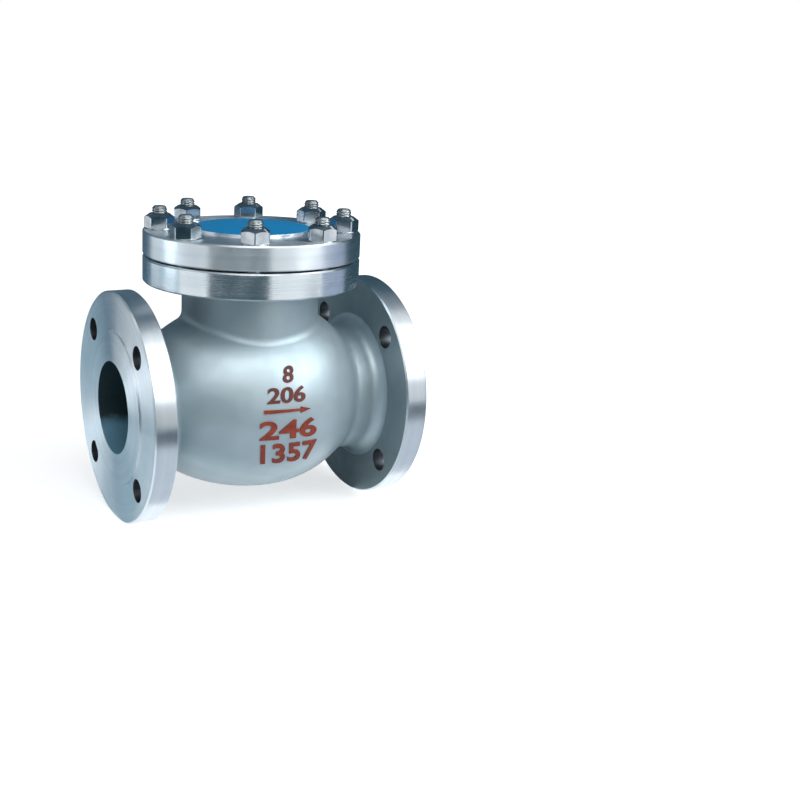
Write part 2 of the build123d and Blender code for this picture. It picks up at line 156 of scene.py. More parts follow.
def turned_steel(name, axis, centre, roughness, stretch):
    """Metal turned on a lathe: grooves run round the axis and stretch its reflections across them."""
    finish = Finish(name, steel_bright, metallic=1.0, roughness=roughness,
                    Anisotropic=stretch, Anisotropic_Rotation=0.25)
    offset = finish.vector_maths("SUBTRACT", finish.place(), tuple(centre))
    around = finish.vector_maths("CROSS_PRODUCT", tuple(axis), offset)
    finish.feed("Tangent", finish.vector_maths("NORMALIZE", around))
    radius = finish.vector_maths("LENGTH", around)
    along = finish.vector_maths("DOT_PRODUCT", offset, tuple(axis))
    groove_place = finish.node("ShaderNodeCombineXYZ", X=radius, Y=along).outputs[0]
    fine_grooves = finish.noise(groove_place, scale=1500.0, detail=3.0, roughness=0.6)
    broad_grooves = finish.noise(groove_place, scale=210.0, detail=2.0)
    handling = finish.noise(finish.place(), scale=38.0, detail=3.0, roughness=0.55, distortion=0.6)
    tone = finish.maths("ADD", finish.spread(broad_grooves, 0.0, 0.55), finish.spread(handling, 0.0, 0.45))
    finish.feed("Base Color", finish.blend(tone, steel_shade, steel_bright))
    smear = finish.spread(fine_grooves, roughness - 0.04, roughness + 0.05)
    finish.feed("Roughness", finish.maths("ADD", smear, finish.spread(handling, -0.02, 0.04)))
    finish.relief(fine_grooves, distance=0.00004, strength=0.5)
    return finish.material


def cast_paint(name, colour, shade, metallic, roughness, grain=0.00025):
    """Satin paint over a casting: a fine sand texture, a slow wave, and a tone that drifts."""
    finish = Finish(name, colour, metallic=metallic, roughness=roughness)
    place = finish.place()
    sand = finish.noise(place, scale=900.0, detail=5.0, roughness=0.62)
    wave = finish.noise(place, scale=85.0, detail=3.0, roughness=0.5)
    drift = finish.noise(place, scale=16.0, detail=3.0, roughness=0.55, distortion=0.4)
    finish.feed("Base Color", finish.blend(finish.spread(drift, 0.0, 1.0), shade, colour))
    finish.feed("Roughness", finish.spread(finish.maths("MULTIPLY", drift, wave), roughness + 0.05,
                                           roughness - 0.05, 0.15, 0.35))
    height = finish.maths("ADD", finish.maths("MULTIPLY", sand, 0.25), wave)
    finish.relief(height, distance=grain, strength=0.55)
    return finish.material


def ground_steel(name, colour, dark_colour, roughness, grain_scale=260.0):
    """Bright or plated steel with fine handling marks."""
    finish = Finish(name, colour, metallic=1.0, roughness=roughness)
    place = finish.place()
    marks = finish.noise(place, scale=grain_scale, detail=5.0, roughness=0.65, distortion=1.2)
    cloud = finish.noise(place, scale=70.0, detail=3.0)
    finish.feed("Base Color", finish.blend(finish.spread(cloud, 0.0, 1.0), dark_colour, colour))
    finish.feed("Roughness", finish.spread(marks, roughness - 0.04, roughness + 0.06))
    finish.relief(marks, distance=0.00002, strength=0.2)
    return finish.material


def raw_casting(name, colour, dark_colour, roughness, metallic=0.55):
    """Unpainted casting skin: coarse sand grain with dark scale."""
    finish = Finish(name, colour, metallic=metallic, roughness=roughness)
    place = finish.place()
    sand = finish.noise(place, scale=620.0, detail=6.0, roughness=0.65)
    scale_marks = finish.noise(place, scale=75.0, detail=4.0, roughness=0.6, distortion=0.8)
    finish.feed("Base Color", finish.blend(finish.spread(scale_marks, 0.0, 1.0), dark_colour, colour))
    finish.feed("Roughness", finish.spread(sand, roughness - 0.06, roughness + 0.1))
    finish.relief(sand, distance=0.0004, strength=0.6)
    return finish.material


def bore_with_painted_light(name, bright, dark, bright_below, dark_above):
    """A bored wall: painted light along its bottom and painted shade higher up, with a ragged edge between.
    """
    finish = Finish(name, bright, metallic=0.25, roughness=0.42)
    place = finish.place()
    sand = finish.noise(place, scale=620.0, detail=5.0, roughness=0.65)
    level = finish.node("ShaderNodeSeparateXYZ", Vector=place).outputs["Z"]
    wander = finish.noise(place, scale=60.0, detail=3.0)
    ragged = finish.maths("ADD", level, finish.spread(wander, -0.003, 0.003))
    # Painted shade above the given level, painted light below it
    painted_shade_share = finish.spread(ragged, 0.0, 1.0, bright_below, dark_above)
    finish.feed("Base Color", finish.blend(painted_shade_share, bright, dark))
    finish.feed("Roughness", finish.spread(sand, 0.36, 0.50))
    finish.relief(sand, distance=0.0002, strength=0.5)
    return finish.material


def brushed_paint(name, colour, dark_colour, roughness):
    """Brushed-on paint with soft streaks."""
    finish = Finish(name, colour, roughness=roughness, Specular_IOR_Level=0.2)
    place = finish.place()
    stretched = finish.vector_maths("MULTIPLY", place, (1.0, 5.0, 1.0))
    streaks = finish.noise(stretched, scale=90.0, detail=4.0, roughness=0.55, distortion=0.3)
    finish.feed("Base Color", finish.blend(finish.spread(streaks, 0.0, 1.0), dark_colour, colour))
    finish.feed("Roughness", finish.spread(streaks, roughness - 0.05, roughness + 0.06))
    finish.relief(streaks, distance=0.00008, strength=0.5)
    return finish.material


def pressed_sheet(name, colour, roughness):
    """Pressed graphite sheet: matt, faintly mottled."""
    finish = Finish(name, colour, roughness=roughness)
    dark_share = 0.6
    mottle = finish.noise(finish.place(), scale=480.0, detail=4.0, roughness=0.6)
    finish.feed("Base Color", finish.blend(mottle, tuple(dark_share * part for part in colour), colour))
    finish.relief(mottle, distance=0.00006, strength=0.6)
    return finish.material


pipe_centre = (0.0, 0.0, 0.0)
flange_turned = turned_steel("turned_pipe_flanges", pipe_axis, pipe_centre, roughness=0.35, stretch=0.88)
face_turned = turned_steel("turned_flange_faces", pipe_axis, pipe_centre, roughness=0.42, stretch=0.93)
joint_turned = turned_steel("turned_upper_flange", upright, valve_centre, roughness=0.22, stretch=0.70)
cover_turned = turned_steel("turned_cover", upright, valve_centre, roughness=0.30, stretch=0.80)
body_paint = cast_paint("silver_body_paint", (0.44, 0.54, 0.585), (0.35, 0.45, 0.50),
                        metallic=0.52, roughness=0.44)
# Darker paint on the backs of the end flanges is painted shade, where the bowl and the flanges shade each
# other
flange_back_shade_paint = cast_paint("flange_back_shade_paint", (0.27, 0.34, 0.37), (0.20, 0.27, 0.30),
                               metallic=0.52, roughness=0.46)
inside_casting = raw_casting("inside_casting", (0.15, 0.23, 0.28), (0.09, 0.14, 0.17),
                              roughness=0.36, metallic=0.9)
# The bore's wall: painted light along its bottom and painted shade higher up
bore_light_and_shade = bore_with_painted_light("bore_light_and_shade", (0.19, 0.42, 0.58), (0.022, 0.050, 0.060),
                           bright_below=-0.027, dark_above=-0.017)
trim_casting = raw_casting("trim_casting", (0.23, 0.24, 0.25), (0.13, 0.14, 0.15), roughness=0.5)
drilled_steel = ground_steel("drilled_holes", (0.16, 0.18, 0.20), (0.08, 0.09, 0.10), roughness=0.42)
plated_steel = ground_steel("plated_fasteners", (0.62, 0.67, 0.71), (0.28, 0.33, 0.37),
                            roughness=0.15, grain_scale=150.0)
thread_steel = ground_steel("stud_threads", (0.40, 0.44, 0.46), (0.24, 0.28, 0.30), roughness=0.26)
seat_steel = ground_steel("ground_seat", (0.70, 0.70, 0.69), (0.55, 0.56, 0.56), roughness=0.20)
blue_paint = brushed_paint("blue_boss_paint", (0.002, 0.225, 0.50), (0.002, 0.175, 0.41), roughness=0.55)
mark_paint = brushed_paint("cast_mark_paint", (0.32, 0.058, 0.030), (0.19, 0.036, 0.024), roughness=0.5)
worn_mark_paint = brushed_paint("worn_mark_paint", (0.17, 0.050, 0.040), (0.10, 0.034, 0.030), roughness=0.55)
gasket_sheet = pressed_sheet("graphite_gasket", (0.018, 0.019, 0.021), roughness=0.75)


# Pieces

def link_piece(name, mesh, body="valve"):
    """A piece in the scene that rides on a body."""
    piece = bpy.data.objects.new(name, mesh)
    scene.collection.objects.link(piece)
    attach(piece, body)
    return piece


joined_within = 1e-6
no_length = 1e-20


def merged_copy(node_name, mesh_name, finishes, choose_finish):
    """A copy of a CAD node's mesh with its points joined, its own shading and a finish chosen per face."""
    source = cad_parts[node_name].data
    points = np.zeros(len(source.vertices) * 3)
    source.vertices.foreach_get("co", points)
    points = points.reshape(-1, 3)
    corner_points = np.zeros(len(source.loops), np.int64)
    source.loops.foreach_get("vertex_index", corner_points)
    corner_normals = np.zeros(len(source.loops) * 3)
    source.corner_normals.foreach_get("vector", corner_normals)
    corner_normals = corner_normals.reshape(-1, 3, 3)
    rounded = np.round(points / joined_within).astype(np.int64)
    _, first, joined = np.unique(rounded, axis=0, return_index=True, return_inverse=True)
    faces = joined.reshape(-1)[corner_points].reshape(-1, 3)
    sound = (faces[:, 0] != faces[:, 1]) & (faces[:, 1] != faces[:, 2]) & (faces[:, 0] != faces[:, 2])
    faces, corner_normals = faces[sound], corner_normals[sound]
    mesh = bpy.data.meshes.new(mesh_name)
    mesh.from_pydata(points[first].tolist(), [], faces.tolist())
    corners = points[first][faces]
    face_normals = np.cross(corners[:, 1] - corners[:, 0], corners[:, 2] - corners[:, 0])
    face_normals /= np.maximum(np.linalg.norm(face_normals, axis=1), no_length)[:, None]
    for finish in finishes:
        mesh.materials.append(finish)
    chosen = choose_finish(corners.mean(axis=1), face_normals)
    mesh.polygons.foreach_set("material_index", chosen.astype(np.int32))
    mesh.polygons.foreach_set("use_smooth", np.ones(len(faces), bool))
    mesh.update()
    if len(mesh.polygons) == len(faces):
        mesh.normals_split_custom_set(corner_normals.reshape(-1, 3).tolist())
    return mesh


# Where one finish of the casting ends and the next begins, in metres
hair = 0.0001
within_bowl_wall = 0.005
pipe_wall_middle = 0.045
neck_wall_middle = 0.0545
neck_foot = 0.05
recess_floor = 0.1135
rim_start = 0.0930
flange_back_end = 0.0945
raised_edge_start = 0.060
cover_rim_width = 0.0016
bored_length = 0.075

# How nearly a face looks along an axis, as the cosine of the angle between them
facing = 0.9
exactly_facing = 0.999
aslant = 0.5

body_finishes = {
    "paint": body_paint,
    "turned rim": flange_turned,
    "turned joint": joint_turned,
    "raw inside": inside_casting,
    "drilled": drilled_steel,
    "bored": bore_light_and_shade,
    "turned face": face_turned,
    "flange back shade": flange_back_shade_paint,
}
cover_finishes = {"turned": cover_turned, "blue": blue_paint, "raw": inside_casting}


def slots_of(finishes):
    """The number of each finish's material slot."""
    return {name: number for number, name in enumerate(finishes)}


def body_finish(centres, normals):
    """Paint outside, darker paint on the flange backs as painted shade, turned flanges and joint faces,
    drilled holes, a bored inlet with painted light below and painted shade above, raw casting inside.
    """
    slot = slots_of(body_finishes)
    x, y, z = centres.T
    along_pipe = normals[:, 0]
    off_pipe = np.hypot(y, z)
    off_cover = np.hypot(x - cover_axis_x, y)
    from_end = np.minimum(x, outlet_face - x)
    reach = np.where(x < bowl_centre.x, bowl_reach_upstream, bowl_reach_downstream) - within_bowl_wall
    along_bowl = (x - bowl_centre.x) / reach
    across_bowl = np.hypot(y, z - bowl_centre.z) / (bowl_radius - within_bowl_wall)
    in_bowl = np.hypot(along_bowl, across_bowl) < 1.0
    in_neck = (off_cover < neck_wall_middle) & (z > neck_foot)
    in_recess = (off_cover < recess_radius + 3 * hair) & (z > recess_floor) & (z < joint_level - hair / 2)
    inside = in_bowl | in_neck | in_recess | (off_pipe < pipe_wall_middle)
    inlet_end = (x < hair) & (along_pipe < -facing)
    outlet_end = (x > outlet_face - hair) & (along_pipe > facing)
    flange_backs = (np.abs(from_end - flange_back) < hair / 10) & (np.abs(along_pipe) > exactly_facing)
    rims = (from_end < flange_back + hair) & (off_pipe > rim_start)
    raised_edges = (from_end < 0.0) & (off_pipe > raised_edge_start)
    cover_rim = (z > bonnet_underside - hair) & (off_cover > cover_radius - cover_rim_width)
    cover_joint = (z > joint_level - hair) & (normals[:, 2] > facing)
    hole_offset = bolt_circle_radius * math.sqrt(0.5)
    off_hole = np.hypot(np.abs(y) - hole_offset, np.abs(z) - hole_offset)
    holes = (off_hole < bolt_hole_radius + 4 * hair) & (np.abs(along_pipe) < aslant)
    holes &= from_end < flange_back + 5 * hair
    chosen = np.full(len(centres), slot["paint"])
    # The flange backs take the darker paint as painted shade
    chosen[flange_backs & (off_pipe < flange_back_end)] = slot["flange back shade"]
    chosen[inside] = slot["raw inside"]
    chosen[(off_pipe < bore_radius + 3 * hair) & (x < bored_length)] = slot["bored"]
    chosen[holes & ~inside] = slot["drilled"]
    chosen[rims | raised_edges] = slot["turned rim"]
    chosen[inlet_end | outlet_end] = slot["turned face"]
    chosen[cover_rim | cover_joint] = slot["turned joint"]
    return chosen


def cover_finish(centres, normals):
    """Turned steel, blue paint on the top of the boss, raw spigot inside."""
    slot = slots_of(cover_finishes)
    x, y, z = centres.T
    off_cover = np.hypot(x - cover_axis_x, y)
    chosen = np.full(len(centres), slot["turned"])
    chosen[(z > boss_top - 4 * hair) & (off_cover < boss_radius + 10 * hair)] = slot["blue"]
    chosen[z < joint_level - 2 * hair] = slot["raw"]
    return chosen


body_mesh = merged_copy("valve_body", "valve_casting", body_finishes.values(), body_finish)
casting = link_piece("valve_casting", body_mesh)
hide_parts("valve_body")

cover_mesh = merged_copy("cover", "blind_cover", cover_finishes.values(), cover_finish)
blind_cover = link_piece("blind_cover", cover_mesh)
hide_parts("cover")

# CAD nodes that keep their shape and get a finish
node_finishes = {
    "cover_gasket": gasket_sheet,
    "seat_ring": seat_steel,
    "disc": seat_steel,
    "hinge_pin": seat_steel,
    "hinge_bracket": trim_casting,
    "swing_arm": trim_casting,
    "bracket_screws": plated_steel,
    "bracket_lock_washers": plated_steel,
    "hinge_pin_washers": plated_steel,
    "hinge_pin_cotters": plated_steel,
    "disc_washer": plated_steel,
    "disc_nut": plated_steel,
    "disc_cotter": plated_steel,
}
for node_name, finish in node_finishes.items():
    for material_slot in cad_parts[node_name].material_slots:
        material_slot.material = finish


# Nuts and studs of the cover

def ring_mesh(name, rings, closed_ends=True):
    """A closed shape from rings of points, each with the same number of points."""
    shape = bmesh.new()
    rows = [[shape.verts.new(point) for point in ring] for ring in rings]
    count = len(rows[0])
    for lower, upper in zip(rows, rows[1:]):
        for k in range(count):
            shape.faces.new((lower[k], lower[(k + 1) % count], upper[(k + 1) % count], upper[k]))
    if closed_ends:
        shape.faces.new(list(reversed(rows[0])))
        shape.faces.new(rows[-1])
    else:
        for k in range(count):
            shape.faces.new((rows[-1][k], rows[-1][(k + 1) % count], rows[0][(k + 1) % count], rows[0][k]))
    bmesh.ops.recalc_face_normals(shape, faces=shape.faces)
    mesh = bpy.data.meshes.new(name)
    shape.to_mesh(mesh)
    shape.free()
    return mesh


def around(radius_at, height_at, steps):
    """A ring of points, whose radius and height are each a function of the turn."""
    turns = [math.tau * k / steps for k in range(steps)]
    return [(radius_at(t) * math.cos(t), radius_at(t) * math.sin(t), height_at(t)) for t in turns]


def always(value):
    """The same radius or height at every turn."""
    return lambda turn: value


def nut_mesh():
    """Heavy hexagon nut: washer face below, a deep turned crown above, corners turned down a little."""
    steps = 144
    flat = nut_across_flats / 2
    crown_radius = flat * 0.75
    crown_slope = math.tan(math.radians(36.0))
    washer_radius = flat * 0.95
    washer_height = 0.0005
    foot_slope = math.tan(math.radians(14.0))
    corner = flat / math.cos(math.radians(30.0)) * 0.985
    bore = stud_radius - 0.0002
    mouth_radius = stud_radius + 0.0010
    mouth_depth = 0.0011

    def hexagon_at(turn):
        past_flat = (turn % math.radians(60.0)) - math.radians(30.0)
        return min(flat / math.cos(past_flat), corner)

    def crown_at(turn):
        return nut_height - max(0.0, hexagon_at(turn) - crown_radius) * crown_slope

    def foot_at(turn):
        return washer_height + max(0.0, hexagon_at(turn) - washer_radius) * foot_slope

    rings = [
        around(always(bore), always(0.0), steps),
        around(always(washer_radius), always(0.0), steps),
        around(always(washer_radius), always(washer_height), steps),
        around(hexagon_at, foot_at, steps),
        around(hexagon_at, crown_at, steps),
        around(always(crown_radius), always(nut_height), steps),
        around(always(mouth_radius), always(nut_height), steps),
        around(always(bore), always(nut_height - mouth_depth), steps),
    ]
    return ring_mesh("nut_pattern", rings, closed_ends=False)


def stud_mesh():
    """Stud with a plain foot in the casting and a rolled thread that shows above the nut."""
    steps = 40
    foot_chamfer = 0.0008
    hidden_thread = 0.0025
    tip_slope = 0.9
    rows_per_turn = 8
    row = thread_pitch / rows_per_turn
    thread_start = cover_top + nut_height - hidden_thread
    count = int((stud_end - thread_start) / row)

    def thread_at(level):
        past_start = level - thread_start
        run_in = min(1.0, past_start / (2 * row))
        tip_cut = max(0.0, level - (stud_end - stud_tip_chamfer)) * tip_slope

        def radius(turn):
            phase = (past_start / thread_pitch - turn / math.tau) % 1.0
            groove = abs(2.0 * phase - 1.0)
            cut = thread_depth * run_in * min(1.0, max(0.0, 1.25 * groove - 0.1))
            return stud_radius - max(cut, tip_cut)

        return radius

    rings = [
        around(always(stud_radius - foot_chamfer), always(stud_foot), steps),
        around(always(stud_radius), always(stud_foot + foot_chamfer), steps),
    ]
    for k in range(count):
        level = thread_start + k * row
        rings.append(around(thread_at(level), always(level), steps))
    rings.append(around(always(stud_radius - stud_tip_chamfer * tip_slope), always(stud_end), steps))
    return ring_mesh("stud_pattern", rings)


fastener_edge = math.radians(28.0)


def bolt_ring(name, pattern_mesh, finish, level, circle_radius, turns):
    """Repeats one fastener round the cover with Geometry Nodes, each with its own turn, as one mesh."""
    pattern = bpy.data.objects.new(name + "_pattern", pattern_mesh)
    scene.collection.objects.link(pattern)
    places = bpy.data.meshes.new(name)
    count = len(turns)
    angles = [math.tau * (k + 0.5) / count for k in range(count)]
    places.from_pydata([(math.cos(a), math.sin(a), 0.0) for a in angles], [], [])
    turn_data = places.attributes.new("turn", "FLOAT", "POINT")
    for k, turn in enumerate(turns):
        turn_data.data[k].value = math.radians(turn)
    carrier = bpy.data.objects.new(name + "_places", places)
    scene.collection.objects.link(carrier)

    tree = bpy.data.node_groups.new(name, "GeometryNodeTree")
    face = tree.interface
    face.new_socket("Geometry", in_out="INPUT", socket_type="NodeSocketGeometry")
    pattern_socket = face.new_socket("Fastener", in_out="INPUT", socket_type="NodeSocketObject")
    radius_socket = face.new_socket("Bolt circle radius", in_out="INPUT", socket_type="NodeSocketFloat")
    place_socket = face.new_socket("Centre", in_out="INPUT", socket_type="NodeSocketVector")
    finish_socket = face.new_socket("Finish", in_out="INPUT", socket_type="NodeSocketMaterial")
    face.new_socket("Geometry", in_out="OUTPUT", socket_type="NodeSocketGeometry")
    nodes, links = tree.nodes, tree.links
    given = nodes.new("NodeGroupInput")
    result = nodes.new("NodeGroupOutput")
    widen = nodes.new("GeometryNodeTransform")
    radius_vector = nodes.new("ShaderNodeCombineXYZ")
    for k in range(3):
        links.new(given.outputs["Bolt circle radius"], radius_vector.inputs[k])
    links.new(given.outputs["Geometry"], widen.inputs["Geometry"])
    links.new(radius_vector.outputs[0], widen.inputs["Scale"])
    links.new(given.outputs["Centre"], widen.inputs["Translation"])
    info = nodes.new("GeometryNodeObjectInfo")
    links.new(given.outputs["Fastener"], info.inputs["Object"])
    turn_field = nodes.new("GeometryNodeInputNamedAttribute")
    turn_field.data_type = "FLOAT"
    turn_field.inputs["Name"].default_value = "turn"
    turn_vector = nodes.new("ShaderNodeCombineXYZ")
    links.new(turn_field.outputs["Attribute"], turn_vector.inputs["Z"])
    copies = nodes.new("GeometryNodeInstanceOnPoints")
    links.new(widen.outputs["Geometry"], copies.inputs["Points"])
    links.new(info.outputs["Geometry"], copies.inputs["Instance"])
    links.new(turn_vector.outputs[0], copies.inputs["Rotation"])
    real = nodes.new("GeometryNodeRealizeInstances")
    links.new(copies.outputs["Instances"], real.inputs["Geometry"])
    dress = nodes.new("GeometryNodeSetMaterial")
    links.new(real.outputs["Geometry"], dress.inputs["Geometry"])
    links.new(given.outputs["Finish"], dress.inputs["Material"])
    links.new(dress.outputs["Geometry"], result.inputs["Geometry"])

    modifier = carrier.modifiers.new("Fasteners", "NODES")
    modifier.node_group = tree
    modifier[pattern_socket.identifier] = pattern
    modifier[radius_socket.identifier] = circle_radius
    modifier[place_socket.identifier] = (cover_axis_x, 0.0, level)
    modifier[finish_socket.identifier] = finish
    depsgraph = bpy.context.evaluated_depsgraph_get()
    mesh = bpy.data.meshes.new_from_object(carrier.evaluated_get(depsgraph))
    mesh.name = name
    for leftover in (carrier, pattern):
        bpy.data.objects.remove(leftover)
    mesh.shade_smooth()
    mesh.set_sharp_from_angle(angle=fastener_edge)
    return link_piece(name, mesh)


# Turn of each fastener in degrees, as it was left when it was tightened, from 22.5 degrees round the cover
nut_turns = [35.0, 33.0, 5.0, 36.0, 28.0, 5.0, 7.0, 34.0]
stud_turns = [0.0, 72.0, 141.0, 215.0, 33.0, 118.0, 187.0, 264.0]
nuts = bolt_ring("cover_nut_set", nut_mesh(), plated_steel, cover_top, stud_circle_radius, nut_turns)
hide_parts("cover_nuts")
studs = bolt_ring("cover_stud_set", stud_mesh(), thread_steel, 0.0, stud_circle_radius, stud_turns)
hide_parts("cover_studs")


# Raised marks cast on the front of the bowl: plain numbers and a flow arrow

outline_half_depth = 0.5
stroke_weight = 0.024
curve_steps = 6


def number_outline(text, height, width):
    """Outline of a row of plain numbers, centred, with its front above the XY plane and its back below."""
    curve = bpy.data.curves.new("number_row", "FONT")
    curve.body = text
    curve.align_x = "CENTER"
    curve.align_y = "CENTER"
    curve.offset = stroke_weight
    curve.resolution_u = curve_steps
    curve.extrude = outline_half_depth
    holder = bpy.data.objects.new("number_row", curve)
    scene.collection.objects.link(holder)
    depsgraph = bpy.context.evaluated_depsgraph_get()
    mesh = bpy.data.meshes.new_from_object(holder.evaluated_get(depsgraph))
    bpy.data.objects.remove(holder)
    points = np.array([v.co[:] for v in mesh.vertices])
    low, high = points.min(axis=0), points.max(axis=0)
    middle = (low + high) / 2
    size = high - low
    for vertex in mesh.vertices:
        vertex.co.x = (vertex.co.x - middle[0]) / size[0] * width
        vertex.co.y = (vertex.co.y - middle[1]) / size[1] * height
    return mesh


def arrow_outline(length, shaft, head_length, head_width):
    """Outline of an arrow along X, laid out as a row of numbers is."""
    half = length / 2
    neck = half - head_length
    tail = shaft * 1.7
    outline = [(-half, -tail / 2), (neck, -shaft / 2), (neck, -head_width / 2), (half, 0.0),
               (neck, head_width / 2), (neck, shaft / 2), (-half, tail / 2)]
    shape = bmesh.new()
    lower = [shape.verts.new((px, py, -outline_half_depth)) for px, py in outline]
    upper = [shape.verts.new((px, py, outline_half_depth)) for px, py in outline]
    shape.faces.new(upper)
    shape.faces.new(list(reversed(lower)))
    for k in range(len(outline)):
        after = (k + 1) % len(outline)
        shape.faces.new((lower[k], lower[after], upper[after], upper[k]))
    mesh = bpy.data.meshes.new("flow_arrow")
    shape.to_mesh(mesh)
    shape.free()
    return mesh


body_surface = BVHTree.FromPolygons([v.co[:] for v in body_mesh.vertices],
                                    [p.vertices[:] for p in body_mesh.polygons])
in_front_of_bowl = -0.3
longest_mark_edge = 0.0035
mark_cuts = 3
mark_edge = math.radians(35.0)


def on_bowl_front(x, z):
    """The place on the bowl straight behind a point of its front view."""
    towards_bowl = pipe_axis.cross(upright) * -1.0
    return body_surface.ray_cast(Vector((x, in_front_of_bowl, z)), towards_bowl)[0]


def lies_flat(edge):
    """Whether an edge lies in the outline's front or back, and doesn't join the two."""
    return abs(edge.verts[0].co.z - edge.verts[1].co.z) < outline_half_depth / 5


def cast_on_bowl(name, outline, centre_x, centre_z, paint):
    """Cuts an outline fine, lays it on the bowl's front and gives it the height of a cast mark.

    The upright strokes lean with the bowl's curve, so that they stand straight where they are read from.
    """
    shape = bmesh.new()
    shape.from_mesh(outline)
    bmesh.ops.remove_doubles(shape, verts=shape.verts, dist=joined_within)
    bmesh.ops.triangulate(shape, faces=shape.faces)
    for cut in range(mark_cuts):
        long_edges = [e for e in shape.edges if e.calc_length() > longest_mark_edge and lies_flat(e)]
        if long_edges:
            bmesh.ops.subdivide_edges(shape, edges=long_edges, cuts=1)
            bmesh.ops.triangulate(shape, faces=shape.faces)
    middle = on_bowl_front(centre_x, centre_z)
    for vertex in shape.verts:
        across, up, front = vertex.co
        level = on_bowl_front(centre_x, centre_z + up)
        hit = on_bowl_front(centre_x + across + mark_lean * (level.y - middle.y), centre_z + up)
        outward = (hit - bowl_centre).normalized()
        vertex.co = hit + outward * (mark_relief if front > 0 else -mark_relief)
    bmesh.ops.recalc_face_normals(shape, faces=shape.faces)
    mesh = bpy.data.meshes.new(name)
    shape.to_mesh(mesh)
    shape.free()
    mesh.materials.append(paint)
    mesh.shade_smooth()
    mesh.set_sharp_from_angle(angle=mark_edge)
    piece = link_piece(name, mesh)
    return piece


# In each row: the piece, its numbers, their height and width, the x and z of their centre, and the paint
number_rows = [
    ("mark_size", "8", 0.0125, 0.0090, 0.1205, 0.0352, worn_mark_paint),
    ("mark_rating", "206", 0.0125, 0.0325, 0.1175, 0.0198, worn_mark_paint),
    ("mark_batch", "246", 0.0165, 0.0500, 0.1199, -0.0085, mark_paint),
    ("mark_heat", "1357", 0.0190, 0.0500, 0.1238, -0.0303, mark_paint),
]
for mark_name, text, height, width, mark_x, mark_z, paint in number_rows:
    cast_on_bowl(mark_name, number_outline(text, height, width), mark_x, mark_z, paint)
flow_arrow = arrow_outline(length=0.0400, shaft=0.0018, head_length=0.0090, head_width=0.0050)
cast_on_bowl("mark_flow_arrow", flow_arrow, 0.1181, 0.0072, mark_paint)


# Studio: pale floor, white surroundings, soft lamps and cards that only reflections see

def join_node(tree, kind, *inputs, operation=None):
    """A node whose inputs are set or linked in their order."""
    made = tree.nodes.new(kind)
    if operation:
        made.operation = operation
    for socket, value in zip(made.inputs, inputs):
        if isinstance(value, bpy.types.NodeSocket):
            tree.links.new(value, socket)
        else:
            socket.default_value = value
    return made


def seen_directly(tree, path):
    """1 where the camera, a reflection or a clear body looks, and 0 for the light that falls on the valve."""
    seen = join_node(tree, "ShaderNodeMath", path.outputs["Is Camera Ray"], path.outputs["Is Glossy Ray"],
                     operation="MAXIMUM")
    also = join_node(tree, "ShaderNodeMath", seen.outputs[0], path.outputs["Is Transmission Ray"],
                     operation="MAXIMUM")
    return also.outputs[0]


def empty_tree(holder):
    """The bare node tree of a material or a world."""
    holder.use_nodes = True
    holder.node_tree.nodes.clear()
    return holder.node_tree


def card_material(name, colour, strength=1.0):
    """A plain glow, for a card that the bare metal reflects."""
    material = bpy.data.materials.new(name)
    tree = empty_tree(material)
    glow = join_node(tree, "ShaderNodeEmission", (*colour, 1.0), strength)
    join_node(tree, "ShaderNodeOutputMaterial", glow.outputs[0])
    return material


def floor_material(name, colour, lift, far_lift, far_from, far_to):
    """A matt floor that looks paler than its light makes it, and far away fades to white for the camera."""
    material = bpy.data.materials.new(name)
    tree = empty_tree(material)
    path = tree.nodes.new("ShaderNodeLightPath")
    near_glow = join_node(tree, "ShaderNodeMath", seen_directly(tree, path), lift, operation="MULTIPLY")
    spot = tree.nodes.new("ShaderNodeTexCoord")
    distance = join_node(tree, "ShaderNodeVectorMath", spot.outputs["Object"], operation="LENGTH")
    fade = join_node(tree, "ShaderNodeMapRange", distance.outputs["Value"], far_from, far_to, 0.0, far_lift)
    far_glow = join_node(tree, "ShaderNodeMath", fade.outputs["Result"], path.outputs["Is Camera Ray"],
                         operation="MULTIPLY")
    strength = join_node(tree, "ShaderNodeMath", near_glow.outputs[0], far_glow.outputs[0], operation="ADD")
    plain = join_node(tree, "ShaderNodeBsdfDiffuse", (*colour, 1.0))
    glow = join_node(tree, "ShaderNodeEmission", (1.0, 1.0, 1.0, 1.0), strength.outputs[0])
    both = join_node(tree, "ShaderNodeAddShader", plain.outputs[0], glow.outputs[0])
    join_node(tree, "ShaderNodeOutputMaterial", both.outputs[0])
    return material


def stage_sheet(name, corners, material, faces=None, reflections_only=True):
    """A flat sheet of the studio. All but the floor are seen in reflections alone."""
    mesh = bpy.data.meshes.new(name)
    mesh.from_pydata(corners, [], faces or [tuple(range(len(corners)))])
    mesh.materials.append(material)
    sheet = bpy.data.objects.new(name, mesh)
    scene.collection.objects.link(sheet)
    if reflections_only:
        sheet.visible_camera = False
        sheet.visible_diffuse = False
        sheet.visible_shadow = False
    return sheet


def round_valve(azimuth, distance, level):
    """A point round the cover's axis. Azimuth 0 is in front and grows towards +X."""
    turn = math.radians(azimuth)
    return (cover_axis_x + distance * math.sin(turn), -distance * math.cos(turn), level)


def card_faces(columns, rows):
    """Faces between columns of points, each with the same number of rows."""
    return [(rows * k + row, rows * k + rows + row, rows * k + rows + row + 1, rows * k + row + 1)
            for k in range(columns - 1) for row in range(rows - 1)]


card_step = 8


